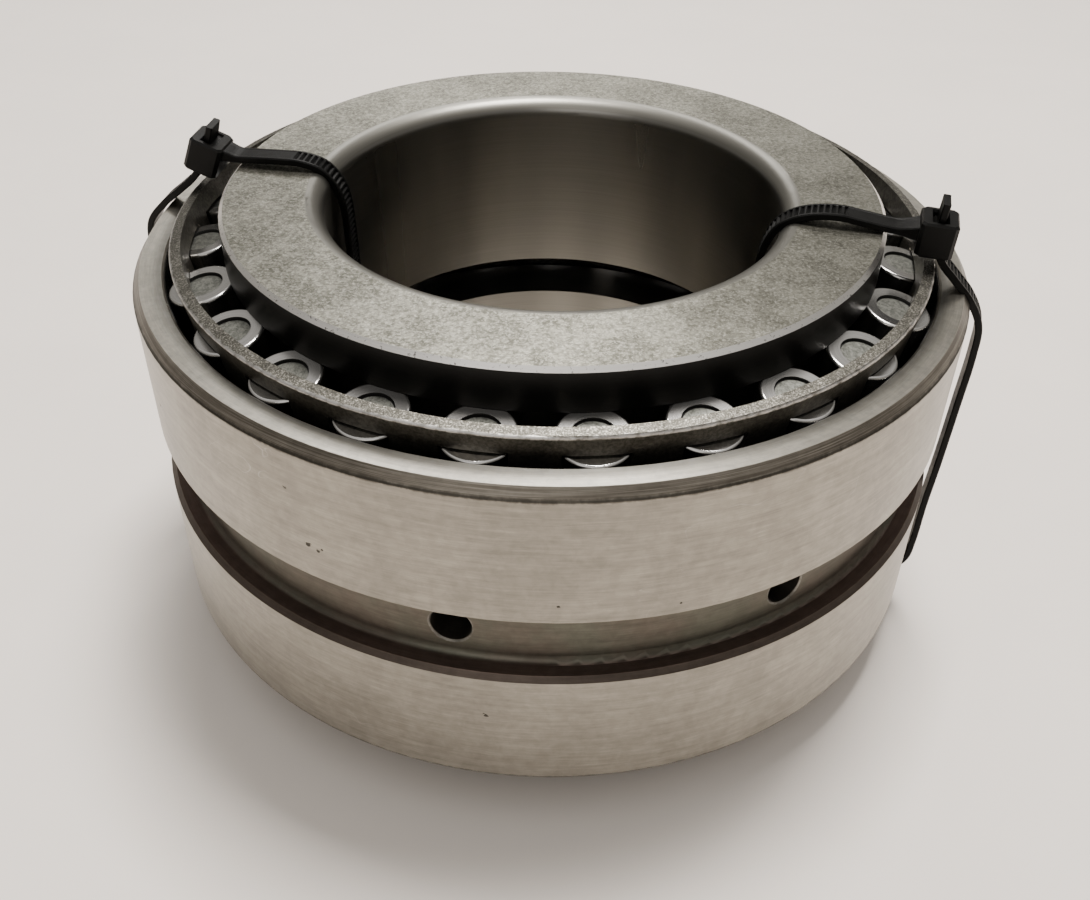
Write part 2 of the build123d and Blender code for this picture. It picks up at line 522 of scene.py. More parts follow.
@dataclass(frozen=True)
class CupSteel:
    """Colours and sheen of the cup: satin outside, bright end faces with painted shade toward the mouth, dark
    edges partly painted as dark reflection, and a groove with painted reflection on its walls and painted
    shade in its oil holes.
    """

    outside: Colour = (0.325, 0.303, 0.262, 1.0)
    end_face: Colour = (0.53, 0.505, 0.445, 1.0)
    # Darker end-face tone near the mouth: painted shade.
    end_face_inner: Colour = (0.27, 0.262, 0.235, 1.0)
    # Chamfer colour, darker than the outside partly as a painted dark reflection.
    edge: Colour = (0.135, 0.120, 0.100, 1.0)
    groove_edge: Colour = (0.105, 0.085, 0.072, 1.0)
    raceway: Colour = warm(0.32, 0.01)
    groove_floor: Colour = (0.135, 0.133, 0.108, 1.0)
    # Reddish-brown groove wall tone: a painted warm reflection.
    groove_wall: Colour = (0.15, 0.112, 0.096, 1.0)
    break_edge: Colour = warm(0.50, 0.03)
    # Near-black brown for pits, nicks and the thin corner lines, and for painted shade inside the oil holes.
    dirt: Colour = warm(0.05, 0.1)
    outside_rough: float = 0.36
    edge_rough: float = 0.42
    brushed: float = 0.55


@dataclass
class Cup:
    """The outer ring, with its groove and oil holes. Sizes in millimetres and degrees."""

    effects: Effects
    node: str = "cup"
    outer_radius: float = 84.1375
    half_width: float = 35.72
    edge_radial: float = 1.5
    edge_axial: float = 2.1
    mouth_radius: float = 77.9
    groove_half_width: float = 7.6
    groove_depth: float = 4.6
    groove_chamfer: float = 1.0
    hole_radius: float = 3.75
    hole_count: int = 8
    first_hole: float = -102.0
    nicks: tuple[tuple[float, float, float], ...] = ((-118.6, 14.8, 0.5), (-117.2, 14.1, 0.35),
                                                     (-116.6, 14.9, 0.22), (-97.0, -17.0, 0.3),
                                                     (-88.6, 11.5, 0.25), (-74.5, 9.9, 0.25),
                                                     (-150.0, 20.0, 0.3), (35.0, 18.0, 0.45),
                                                     (120.0, -22.0, 0.4), (62.0, 24.0, 0.3))
    finish: CupSteel = field(default_factory=CupSteel)

    def build(self) -> None:
        """Dresses the cup."""
        dress(self.node, self.steel())

    def steel(self) -> Material:
        """Makes the cup's steel, zone by zone.

        Returns:
            The material.
        """
        look = self.finish
        coat = Coat("ground_cup_steel", look.outside, look.outside_rough)
        graph = coat.graph
        ring = graph.place(self.effects.ring)
        spot, radius, height, level, facing = (ring[name] for name in ("Spot", "Radius", "Height",
                                                                       "Level", "Facing"))
        flat = graph.remap(facing, 0.9, 0.97)
        across = graph.between(flat, height, radius)
        lay = graph.place(self.effects.lay, Spot=spot, Across=across, Fineness=4.6, Drift=0.22)
        coarse = graph.place(self.effects.lay, Spot=spot, Across=across, Fineness=0.9, Drift=0.06)
        grain = graph.place(self.effects.mottle, Spot=spot, Patch_size=2.4, Fleck_size=0.6)
        film = graph.place(self.effects.mottle, Spot=spot, Patch_size=16.0, Fleck_size=1.1)
        self.lay_outside(coat, ring, film)
        end_face = graph.times(flat, graph.remap(level, self.half_width - 0.3, self.half_width - 0.1))
        # The end face is painted darker near the mouth and brighter outward: painted shade and a painted
        # highlight that stand in for the brushed sheen.
        inner = graph.remap(radius, self.mouth_radius + 0.6, self.mouth_radius + 3.4, smooth=True)
        coat.layer(end_face, graph.tint(inner, look.end_face_inner, look.end_face), 0.33)
        coat.layer(graph.times(end_face, film["Flecks"], 0.25), look.raceway)
        self.lay_edges(coat, ring)
        self.lay_groove(coat, ring, film)
        coat.shade(lay["Lines"], 0.87, 1.10)
        coat.shade(coarse["Lines"], 0.80, 1.08)
        coat.shade(grain["Patches"], 0.92, 1.05)
        coat.raise_by(lay["Lines"], 0.7)
        brush(coat, look.brushed)
        return coat.finish(metal=1.0, bump=0.3, depth_mm=0.02)

    def lay_outside(self, coat: Coat, ring: Sockets, film: Sockets) -> None:
        """Lays stains, pits, nicks and scratches over the outside."""
        graph, look = coat.graph, self.finish
        spot, radius = ring["Spot"], ring["Radius"]
        coat.shade(film["Patches"], 0.9, 1.04)
        marks = graph.place(self.effects.marks, Spot=spot, Pit_spacing=11.0, Pit_size=0.045,
                            Pit_share=0.3)
        outside = graph.remap(radius, self.outer_radius - 0.1, self.outer_radius - 0.02)
        pits = graph.times(marks["Pits"], outside)
        coat.layer(graph.times(pits, 0.85), look.dirt, 0.6)
        coat.raise_by(pits, -2.5)
        scratches = graph.times(marks["Scratches"], outside)
        coat.layer(graph.times(scratches, 0.4), look.break_edge)
        for azimuth, height, size in self.nicks:
            turn = math.radians(azimuth)
            centre = (self.outer_radius * math.cos(turn), self.outer_radius * math.sin(turn), height)
            nick = graph.place(self.effects.nick, Spot=spot, Centre=centre, Size=size)
            coat.layer(graph.times(nick["Mask"], 0.9), look.dirt, 0.6)
            coat.raise_by(nick["Mask"], -3.0)

    def lay_edges(self, coat: Coat, ring: Sockets) -> None:
        """Darkens the outer edge chamfers, partly as a painted dark reflection, draws a thin dark broken line
        along the corner below each, and lays the raceway's colour inside the mouth.
        """
        graph, look = coat.graph, self.finish
        spot, radius, level = (ring[name] for name in ("Spot", "Radius", "Level"))
        chamfer_start = self.half_width - self.edge_axial
        # The chamfer is laid darker than the outside with fine turning lines: partly its own finish, partly a
        # painted dark reflection of the room in front.
        on_chamfer = graph.times(graph.remap(level, chamfer_start - 0.05, chamfer_start + 0.08),
                                 graph.remap(radius, self.outer_radius - self.edge_radial - 0.02,
                                             self.outer_radius - self.edge_radial + 0.1))
        fine = graph.place(self.effects.lay, Spot=spot, Across=radius, Fineness=9.0, Drift=0.05)
        coat.layer(on_chamfer, graph.tint(graph.remap(fine["Lines"], 0.35, 1.0), look.edge, look.outside),
                   look.edge_rough)
        # A thin dark broken line along the corner below each chamfer.
        corner = graph.minus(level, chamfer_start + 0.15)
        near = graph.remap(radius, self.outer_radius - 0.6, self.outer_radius - 0.4)
        line = graph.place(self.effects.worn_line, Spot=spot, Distance=corner, Width=0.55, Breaks=0.12)
        coat.layer(graph.times(near, line[0]), look.dirt, 0.5)
        inside = graph.remap(radius, self.mouth_radius + 0.2, self.mouth_radius - 0.05)
        coat.layer(inside, look.raceway, 0.2)

    def lay_groove(self, coat: Coat, ring: Sockets, film: Sockets) -> None:
        """Lays the groove's turned floor and walls, with a painted reflection on the walls, the bright edge of
        each oil hole and painted shade inside each hole.
        """
        graph, look = coat.graph, self.finish
        spot, radius, level = (ring[name] for name in ("Spot", "Radius", "Level"))
        floor = self.outer_radius - self.groove_depth
        in_groove = graph.times(graph.remap(level, self.groove_half_width + 0.06,
                                            self.groove_half_width - 0.02),
                                graph.remap(radius, self.outer_radius - 0.01, self.outer_radius - 0.06))
        in_groove = graph.times(in_groove, graph.remap(radius, floor - 0.5, floor - 0.2))
        # The groove walls get a painted warm reflection in reddish brown, and blotches of the same painted
        # tone lie on the floor.
        on_wall = graph.remap(radius, floor + 0.5, floor + 1.4, smooth=True)
        tone = graph.tint(on_wall, look.groove_floor, look.groove_wall)
        wall_reflection_patches = graph.times(film["Patches"], 0.45)
        tone = graph.tint(wall_reflection_patches, tone, look.groove_wall)
        on_chamfer = graph.remap(radius, self.outer_radius - self.groove_chamfer - 0.1,
                                 self.outer_radius - self.groove_chamfer + 0.15)
        tone = graph.tint(on_chamfer, tone, look.groove_edge)
        coat.layer(in_groove, tone, 0.45)
        hole = graph.place(self.effects.pitch_fold, Spot=spot,
                           First_azimuth=math.radians(self.first_hole), Pitch=math.tau / self.hole_count)
        off_hole = graph.diagonal(hole["Aside"], level)
        rim = graph.place(self.effects.worn_line, Spot=spot, Width=0.3, Breaks=0.5,
                          Distance=graph.minus(off_hole, self.hole_radius + 0.2))
        coat.layer(graph.times(in_groove, rim[0], 0.35), look.break_edge, 0.3)
        # Each oil hole's bore is painted near black: painted shade inside the hole.
        bored = graph.times(graph.remap(off_hole, self.hole_radius + 0.05, self.hole_radius),
                            graph.remap(radius, self.outer_radius - 0.5, self.outer_radius - 1.0))
        coat.layer(bored, look.dirt, 0.55)


@dataclass(frozen=True)
class ConeSteel:
    """Colours and sheen of a cone: mottled film on its back face, a dark rib partly painted as shade, a
    painted highlight on the rib chamfer, and a ground bore with painted reflection bands.
    """

    film_dark: Colour = (0.092, 0.090, 0.073, 1.0)
    film_light: Colour = (0.32, 0.313, 0.265, 1.0)
    speck: Colour = (0.50, 0.49, 0.44, 1.0)
    # Near-black rib colour: a dark film, darkened further as painted shade and a painted dark reflection of
    # the cage and rollers that the rib faces.
    rib: Colour = warm(0.045, 0.01)
    # Bright rib-chamfer colour for a painted highlight, and the darker colour of the gaps that break it.
    edge: Colour = warm(0.85, 0.02)
    edge_chip: Colour = warm(0.22, 0.02)
    bore: Colour = (0.265, 0.256, 0.230, 1.0)
    # Darker bore tone, which with the bore colour makes the bands of painted reflection.
    bore_band: Colour = (0.205, 0.198, 0.178, 1.0)
    bore_edge: Colour = (0.205, 0.20, 0.18, 1.0)
    raceway: Colour = warm(0.36, 0.01)
    brushed: float = 0.4


@dataclass
class Cone:
    """One inner ring, with its ribs, raceway and bore. Sizes in millimetres."""

    effects: Effects
    row: Row
    back_face: float = 46.0375
    bore_radius: float = 46.0375
    bore_edge: float = 3.5
    rib_radius: float = 66.1
    rib_chamfer: float = 0.8
    finish: ConeSteel = field(default_factory=ConeSteel)

    def build(self) -> None:
        """Dresses the cone."""
        dress(f"{self.row.word}_cone", self.steel())

    def steel(self) -> Material:
        """Makes the cone's steel, zone by zone.

        Returns:
            The material.
        """
        look = self.finish
        coat = Coat(f"{self.row.word}_cone_steel", look.raceway, 0.24)
        graph = coat.graph
        ring = graph.place(self.effects.ring)
        spot, radius, height, level, facing = (ring[name] for name in ("Spot", "Radius", "Height",
                                                                       "Level", "Facing"))
        film = graph.place(self.effects.mottle, Spot=spot, Patch_size=7.0, Fleck_size=0.9)
        fine = graph.place(self.effects.mottle, Spot=spot, Patch_size=0.8, Fleck_size=0.42)
        on_back = graph.times(graph.remap(level, self.back_face - 0.25, self.back_face - 0.1),
                              graph.remap(facing, 0.94, 0.985))
        tone = graph.plus(graph.times(film["Patches"], 0.4), graph.times(fine["Patches"], 0.6))
        tone = graph.tint(tone, look.film_dark, look.film_light)
        tone = graph.tint(graph.times(fine["Flecks"], 0.55), tone, look.speck)
        tone = graph.tint(graph.times(film["Flecks"], 0.6), tone, look.film_dark)
        coat.layer(on_back, tone, graph.remap(fine["Patches"], 0.0, 1.0, 0.44, 0.36))
        coat.raise_by(graph.times(fine["Patches"], on_back), 0.1)
        # The rib's outer wall is painted near black: its dark film plus painted shade and a painted dark
        # reflection.
        on_rib = graph.remap(radius, self.rib_radius - 0.25, self.rib_radius - 0.12)
        on_rib = graph.times(on_rib, graph.remap(facing, 0.3, 0.2))
        coat.layer(on_rib, look.rib, 0.34)
        self.lay_bore(coat, ring)
        self.lay_rib_edge(coat, ring, facing)
        lay = graph.place(self.effects.lay, Spot=spot, Across=graph.between(on_back, height, radius),
                          Fineness=4.0, Drift=0.03)
        coat.shade(lay["Lines"], 0.92, 1.05)
        coat.raise_by(lay["Lines"], 0.4)
        brush(coat, look.brushed)
        return coat.finish(metal=1.0, bump=0.3, depth_mm=0.02)

    def lay_bore(self, coat: Coat, ring: Sockets) -> None:
        """Lays the ground bore with soft upright bands of painted reflection, and the smooth rounded bore
        edge.
        """
        graph, look = coat.graph, self.finish
        spot, radius = ring["Spot"], ring["Radius"]
        in_bore = graph.remap(radius, self.bore_radius + 0.3, self.bore_radius + 0.05)
        # Soft upright bands of painted reflection down the bore.
        squeeze = graph.add("ShaderNodeMapping")
        graph.feed(squeeze.inputs["Vector"], spot)
        squeeze.inputs["Scale"].default_value = (1.0, 1.0, 0.06)
        reflection_bands = graph.remap(graph.noise(squeeze.outputs[0], 0.07, 1.5, 0.45), 0.3, 0.7, smooth=True)
        coat.layer(in_bore, graph.tint(reflection_bands, look.bore_band, look.bore),
                   graph.remap(reflection_bands, 0.0, 1.0, 0.34, 0.27))
        on_edge = graph.place(self.effects.band, Value=radius, Low=self.bore_radius + 0.2,
                              High=self.bore_radius + self.bore_edge, Soft=0.25)
        near_back = graph.remap(ring["Level"], self.back_face - self.bore_edge - 0.3,
                                self.back_face - self.bore_edge + 0.2)
        coat.layer(graph.times(on_edge[0], near_back), look.bore_edge, 0.36)

    def lay_rib_edge(self, coat: Coat, ring: Sockets, facing: Socket) -> None:
        """Lays a painted highlight along the rib's chamfer: a bright line broken by darker gaps."""
        graph, look = coat.graph, self.finish
        slanted = graph.place(self.effects.band, Value=facing, Low=0.3, High=0.95, Soft=0.03)
        at_rib = graph.remap(ring["Radius"], self.rib_radius - self.rib_chamfer - 0.15,
                             self.rib_radius - self.rib_chamfer + 0.05)
        at_back = graph.remap(ring["Level"], self.back_face - self.rib_chamfer - 0.2,
                              self.back_face - self.rib_chamfer)
        on_edge = graph.times(slanted[0], at_rib, at_back)
        # Noise that breaks the painted highlight into pieces.
        highlight_breaks = graph.noise(ring["Spot"], 1.4, 3.0, 0.7)
        coat.layer(on_edge, graph.tint(graph.remap(highlight_breaks, 0.6, 0.68), look.edge, look.edge_chip), 0.28)


@dataclass(frozen=True)
class CageSteel:
    """Colours and sheen of a cage: dark tumbled sheet with a rubbed top band."""

    sheet: Colour = (0.112, 0.105, 0.090, 1.0)
    band: Colour = (0.080, 0.077, 0.066, 1.0)
    edge: Colour = warm(0.62, 0.02)
    speck: Colour = (0.36, 0.345, 0.31, 1.0)
    rough: float = 0.45


@dataclass
class Cage:
    """One pressed cage that spaces a row of rollers. Sizes in millimetres."""

    effects: Effects
    row: Row
    rim_radius: float = 76.2
    rim_level: float = 39.98
    finish: CageSteel = field(default_factory=CageSteel)

    def build(self) -> None:
        """Dresses the cage."""
        dress(f"{self.row.word}_cage", self.steel())

    def steel(self) -> Material:
        """Makes the cage's tumbled steel.

        Returns:
            The material.
        """
        look = self.finish
        coat = Coat(f"{self.row.word}_cage_steel", look.sheet, look.rough)
        graph = coat.graph
        ring = graph.place(self.effects.ring)
        spot = ring["Spot"]
        film = graph.place(self.effects.mottle, Spot=spot, Patch_size=4.0, Fleck_size=0.7)
        dust = graph.place(self.effects.mottle, Spot=spot, Patch_size=0.6, Fleck_size=0.28)
        top = graph.times(graph.remap(ring["Level"], self.rim_level - 0.2, self.rim_level),
                          graph.remap(ring["Facing"], 0.8, 0.95))
        coat.layer(top, look.band, look.rough)
        coat.layer(graph.times(top, dust["Flecks"], 0.8), look.speck)
        coat.shade(film["Patches"], 0.8, 1.15)
        coat.shade(dust["Patches"], 0.75, 1.25)
        coat.raise_by(dust["Patches"], 1.2)
        off_rim = graph.diagonal(graph.minus(ring["Radius"], self.rim_radius),
                                 graph.minus(ring["Level"], self.rim_level))
        line = graph.place(self.effects.worn_line, Spot=spot, Distance=off_rim, Width=0.5, Breaks=0.35)
        coat.layer(line[0], look.edge, 0.3)
        return coat.finish(metal=1.0, bump=0.35, depth_mm=0.03)


@dataclass(frozen=True)
class RollerSteel:
    """Colours and sheen of a roller: ground side, bright end land, dull dark recess."""

    side: Colour = warm(0.50, 0.01)
    land: Colour = warm(0.66, 0.01)
    recess: Colour = (0.145, 0.149, 0.135, 1.0)
    recess_light: Colour = (0.25, 0.255, 0.232, 1.0)
    # Near black: painted shade along the recess step, and dark flecks in the recess.
    step: Colour = warm(0.03, 0.0)
    side_rough: float = 0.2
    land_rough: float = 0.22
    recess_rough: float = 0.5


@dataclass
class RollerRow:
    """One row of tapered rollers. Sizes in millimetres and degrees."""

    effects: Effects
    row: Row
    count: int = 24
    end_radius: float = 6.65
    corner: float = 0.6
    land: float = 2.0
    large_end: float = 359.238
    length: float = 28.5
    apex: float = -315.664
    finish: RollerSteel = field(default_factory=RollerSteel)

    def build(self) -> None:
        """Dresses every roller of the row in one steel."""
        material = self.steel()
        for number in range(1, self.count + 1):
            dress(f"{self.row.word}_roller_{number:02d}", material)

    def first_axis(self) -> tuple[float, float]:
        """Gives where the row's first roller stands, from its joint.

        Returns:
            Its azimuth and the tilt of its axis, in radians.
        """
        name = f"{self.row.word}_roller_01_spin"
        joint = next(one for one in frame["joints"] if one["name"] == name)
        place, axis = joint["pos_m"], joint["axis"]
        return math.atan2(place[1], place[0]), math.acos(abs(axis[2]))

    def steel(self) -> Material:
        """Makes the rollers' steel, by the distance along and off each roller's own axis.

        Returns:
            The material.
        """
        look = self.finish
        azimuth, tilt = self.first_axis()
        coat = Coat(f"{self.row.word}_roller_steel", look.side, look.side_rough)
        graph = coat.graph
        ring = graph.place(self.effects.ring)
        own = graph.place(self.effects.roller_place, Spot=ring["Spot"], First_azimuth=azimuth,
                          Pitch=math.tau / self.count, Tilt=tilt, Side=float(self.row.value),
                          Apex=self.apex)
        along, off = own["Along"], own["Off axis"]
        film = graph.place(self.effects.mottle, Spot=own["Own"], Patch_size=0.9, Fleck_size=0.35)
        lines = graph.place(self.effects.lay, Spot=own["Own"], Across=along, Fineness=5.0, Drift=0.03)
        coat.shade(lines["Lines"], 0.9, 1.04)
        recess_edge = self.end_radius - self.corner - self.land
        at_end = graph.remap(along, self.large_end - 1.0, self.large_end - 0.9)
        on_land = graph.place(self.effects.band, Value=off, Low=recess_edge + 0.05,
                              High=self.end_radius - self.corner + 0.35, Soft=0.08)
        coat.layer(graph.times(at_end, on_land[0]), look.land, look.land_rough)
        in_recess = graph.times(at_end, graph.remap(off, recess_edge + 0.02, recess_edge - 0.08))
        tone = graph.tint(film["Patches"], look.recess, look.recess_light)
        tone = graph.tint(graph.times(film["Flecks"], 0.45), tone, look.step)
        coat.layer(in_recess, tone, look.recess_rough)
        coat.raise_by(graph.times(film["Patches"], in_recess), 1.0)
        # A near-black ring just inside the recess edge: painted shade at the foot of the step.
        step = graph.place(self.effects.band, Value=off, Low=recess_edge - 0.3, High=recess_edge + 0.02,
                           Soft=0.05)
        coat.layer(graph.times(at_end, step[0]), look.step, 0.6)
        turned = graph.place(self.effects.lay, Spot=own["Own"], Across=off, Fineness=4.0, Drift=0.05)
        coat.shade(graph.times(at_end, turned["Lines"]), 1.0, 0.78)
        at_small_end = graph.remap(along, self.large_end - self.length + 0.5,
                                   self.large_end - self.length + 0.2)
        coat.layer(at_small_end, warm(0.3, 0.01), 0.4)
        return coat.finish(metal=1.0, bump=0.3, depth_mm=0.04)


# ---------------------------------------------------------------- the cable ties


@dataclass(frozen=True)
class Nylon:
    """Colour and sheen of moulded black nylon."""

    body: Colour = (0.0012, 0.0012, 0.0013, 1.0)
    rubbed: Colour = (0.005, 0.005, 0.0047, 1.0)
    rough: float = 0.38

    def material(self, effects: Effects) -> Material:
        """Makes the nylon.

        Args:
            effects: The shared shader groups.

        Returns:
            The material.
        """
        coat = Coat("black_nylon", self.body, self.rough)
        graph = coat.graph
        ring = graph.place(effects.ring)
        skin = graph.place(effects.mottle, Spot=ring["Spot"], Patch_size=2.2, Fleck_size=0.3)
        worn = graph.remap(graph.add("ShaderNodeNewGeometry").outputs["Pointiness"], 0.52, 0.62)
        coat.layer(graph.times(worn, 0.8), self.rubbed, 0.32)
        coat.layer(graph.times(skin["Patches"], 0.5), self.rubbed, 0.5)
        coat.raise_by(skin["Flecks"], 0.5)
        coat.shader.inputs["Specular IOR Level"].default_value = 0.12
        return coat.finish(metal=0.0, bump=0.25, depth_mm=0.03)


@dataclass
class CableTie:
    """One cable tie looped through the bore and over the cup. Sizes in millimetres and degrees.

    The loop lies in an upright plane through the bearing's axis. Its line starts in the head, runs
    over the upper cone and down the bore, passes under both rings and comes up the outside into
    the head's slot, where the cut tail stands out of the top.
    """

    name: str
    azimuth: float
    line: tuple[tuple[float, float], ...]
    head_centre: tuple[float, float]
    head_lean: float
    smooth_length: float
    width: float = 4.9
    thickness: float = 1.4
    corner: float = 0.22
    channel_half_width: float = 1.75
    tooth_pitch: float = 1.15
    tooth_depth: float = 0.42
    shoulder_length: float = 6.0
    shoulder_thickness: float = 4.2
    shoulder_width: float = 6.0
    head_width: float = 8.0
    head_depth: float = 7.0
    head_height: float = 7.0
    head_corner: float = 0.7
    slot_width: float = 5.2
    slot_depth: float = 2.7
    channel_floor: float = 0.04
    pawl_reach: float = 1.25
    pawl_half_width: float = 1.7
    section_step: float = 0.6
    direction_step: float = 0.2
    points_per_span: int = 24

    def build(self, nylon: Material) -> bpy.types.Object:
        """Builds the tie as one moulded piece and rides it on the cup.

        Args:
            nylon: Its material.

        Returns:
            The finished piece.
        """
        mesh = bmesh.new()
        self.add_strap(mesh)
        self.add_head(mesh)
        bmesh.ops.recalc_face_normals(mesh, faces=mesh.faces)
        data = bpy.data.meshes.new(self.name)
        mesh.to_mesh(data)
        mesh.free()
        tie = bpy.data.objects.new(self.name, data)
        bpy.context.scene.collection.objects.link(tie)
        data.materials.append(nylon)
        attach(tie, "cup")
        LOG.info("built %s with %d faces", self.name, len(data.polygons))
        return tie

    def to_space(self, radius: float, height: float, aside: float) -> Vector:
        """Turns a place in the tie's own plane into the row frame.

        Args:
            radius: Distance from the bearing's axis.
            height: Height.
            aside: Distance out of the plane.

        Returns:
            The point in metres.
        """
        turn = math.radians(self.azimuth)
        outward = Vector((math.cos(turn), math.sin(turn), 0))
        sideways = Vector((-math.sin(turn), math.cos(turn), 0))
        return (outward * radius + sideways * aside + Vector((0, 0, height))) * MM

    def smooth_line(self) -> tuple[np.ndarray, np.ndarray]:
        """Draws a smooth line through the loop's points.

        Returns:
            Closely spaced points of the line and their lengths from its start.
        """
        given = np.array(self.line)
        steps = np.sqrt(np.linalg.norm(np.diff(given, axis=0), axis=1))
        knots = np.concatenate([[0.0], np.cumsum(steps)])
        slopes = np.gradient(given, knots, axis=0)
        drawn = []
        for first in range(len(given) - 1):
            span = knots[first + 1] - knots[first]
            share = np.linspace(0, 1, self.points_per_span, endpoint=False)[:, None]
            square, cube = share**2, share**3
            drawn.append((2 * cube - 3 * square + 1) * given[first]
                         + (cube - 2 * square + share) * span * slopes[first]
                         + (3 * square - 2 * cube) * given[first + 1]
                         + (cube - square) * span * slopes[first + 1])
        points = np.vstack([*drawn, given[-1:]])
        lengths = np.concatenate([[0.0], np.cumsum(np.linalg.norm(np.diff(points, axis=0), axis=1))])
        return points, lengths

    def stations(self, total: float) -> list[tuple[float, float]]:
        """Lists where the strap's section is drawn, and how deep its channel is there.

        Args:
            total: Length of the strap.

        Returns:
            Length from the start and channel depth, for each section.
        """
        shallow = self.channel_floor
        smooth = [(place, shallow) for place in np.arange(0.0, self.smooth_length, self.section_step)]
        teeth = []
        for place in np.arange(self.smooth_length, total - self.tooth_pitch, self.tooth_pitch):
            teeth += [(place, self.tooth_depth), (place + 0.3 * self.tooth_pitch, shallow),
                      (place + 0.55 * self.tooth_pitch, shallow)]
        return smooth + teeth + [(total, shallow)]

    def section(self, place: float, depth: float) -> list[tuple[float, float]]:
        """Gives the strap's section: a rounded bar with a toothed channel between two rails.

        Args:
            place: Length from the strap's start.
            depth: Depth of the channel.

        Returns:
            Its points, as distance aside and distance out of the loop.
        """
        swell = max(0.0, 1 - place / self.shoulder_length) ** 1.5
        half_width = (self.width + (self.shoulder_width - self.width) * swell) / 2
        top = self.thickness / 2 + (self.shoulder_thickness - self.thickness) * swell * 0.5
        low = -self.thickness / 2 - (self.shoulder_thickness - self.thickness) * swell * 0.35
        rail, soft = self.channel_half_width, self.corner
        return [(-half_width, low + soft), (-half_width, top - soft), (-half_width + soft, top),
                (-rail, top), (-rail + 0.1, top - depth), (rail - 0.1, top - depth), (rail, top),
                (half_width - soft, top), (half_width, top - soft), (half_width, low + soft),
                (half_width - soft, low), (-half_width + soft, low)]

    def add_strap(self, mesh: bmesh.types.BMesh) -> None:
        """Adds the strap with its teeth."""
        points, lengths = self.smooth_line()
        rings = []
        for place, depth in self.stations(lengths[-1]):
            here, ahead, behind = (
                np.array([np.interp(place + step, lengths, points[:, axis]) for axis in (0, 1)])
                for step in (0.0, self.direction_step, -self.direction_step))
            run = (ahead - behind) / np.linalg.norm(ahead - behind)
            out = np.array([run[1], -run[0]])
            ring = []
            for aside, lift in self.section(place, depth):
                radius, height = here + out * lift
                ring.append(mesh.verts.new(self.to_space(radius, height, aside)))
            rings.append(ring)
        for near, far in zip(rings, rings[1:]):
            for index in range(len(near)):
                after = (index + 1) % len(near)
                mesh.faces.new((near[index], near[after], far[after], far[index]))
        mesh.faces.new(rings[0])
        mesh.faces.new(reversed(rings[-1]))

    def head_point(self, depth: float, rise: float, aside: float) -> Vector:
        """Turns a place in the head's own leaning frame into the row frame."""
        lean = math.radians(self.head_lean)
        radius = self.head_centre[0] + depth * math.cos(lean) + rise * math.sin(lean)
        height = self.head_centre[1] - depth * math.sin(lean) + rise * math.cos(lean)
        return self.to_space(radius, height, aside)

    def add_head(self, mesh: bmesh.types.BMesh) -> None:
        """Adds the head: a chamfered block with a slot through it and a pawl in the slot."""
        half = self.head_height / 2

        def loop(width: float, depth: float, rise: float, cut: float, shift: float = 0.0) -> list:
            """Adds one eight-sided ring of points across the slot's direction."""
            wide, deep = width / 2, depth / 2
            corners = [(deep, -wide + cut), (deep, wide - cut), (deep - cut, wide), (-deep + cut, wide),
                       (-deep, wide - cut), (-deep, -wide + cut), (-deep + cut, -wide),
                       (deep - cut, -wide)]
            return [mesh.verts.new(self.head_point(d + shift, rise, w)) for d, w in corners]

        soft = self.head_corner
        rings = [loop(self.slot_width, self.slot_depth, -half, 0.15),
                 loop(self.slot_width + 0.6, self.slot_depth + 0.6, -half, 0.2),
                 loop(self.head_width - soft, self.head_depth - soft, -half, soft),
                 loop(self.head_width, self.head_depth, -half + soft * 0.6, soft),
                 loop(self.head_width, self.head_depth, half - soft * 0.6, soft),
                 loop(self.head_width - soft, self.head_depth - soft, half, soft),
                 loop(self.slot_width + 0.5, self.slot_depth + 0.5, half, 0.2),
                 loop(self.slot_width, self.slot_depth, half - 0.5, 0.15)]
        for near, far in zip(rings, rings[1:] + rings[:1]):
            for index in range(len(near)):
                after = (index + 1) % len(near)
                mesh.faces.new((near[index], near[after], far[after], far[index]))
        self.add_pawl(mesh, half)

    def add_pawl(self, mesh: bmesh.types.BMesh, half: float) -> None:
        """Adds the wedge that holds the strap's teeth."""
        wall, reach, side = -self.slot_depth / 2 - 0.1, self.pawl_reach, self.pawl_half_width
        outline = [(wall, -half * 0.6), (wall + reach * 0.4, -half * 0.7), (wall + reach, half * 0.35),
                   (wall + reach, half * 0.72), (wall + reach * 0.45, half * 0.82), (wall, half * 0.6)]
        left, right = ([mesh.verts.new(self.head_point(depth, rise, aside)) for depth, rise in outline]
                       for aside in (-side, side))
        for index in range(len(outline)):
            after = (index + 1) % len(outline)
            mesh.faces.new((left[index], left[after], right[after], right[index]))
        mesh.faces.new(reversed(left))
        mesh.faces.new(right)


# Where both loops pass under the rings, as radius and height in millimetres.
UNDER_RINGS = ((46.4, -45.2), (50.5, -46.7), (58.0, -46.75), (64.8, -46.72), (68.8, -45.4), (76.9, -40.9))
LEFT_TIE = CableTie(
    name="left_cable_tie", azimuth=172.0, head_centre=(72.6, 47.6), head_lean=-22.0, smooth_length=18.0,
    line=((71.2, 48.2), (68.6, 48.0), (65.9, 47.5), (61.5, 47.6), (56.5, 47.7), (52.3, 47.6), (48.1, 46.3),
          (45.2, 43.0), (44.0, 39.2), (43.5, 30.0), (43.4, 12.0), (43.5, -12.0), (43.8, -32.0), (44.6, -41.0),
          *UNDER_RINGS, (82.4, -37.0), (85.1, -33.2), (85.6, -26.0), (86.4, -8.0), (87.6, 12.0), (88.4, 24.0),
          (87.6, 31.2), (83.8, 35.9), (79.6, 39.4), (75.6, 43.0), (73.2, 47.0), (71.2, 52.0), (70.6, 54.0)))
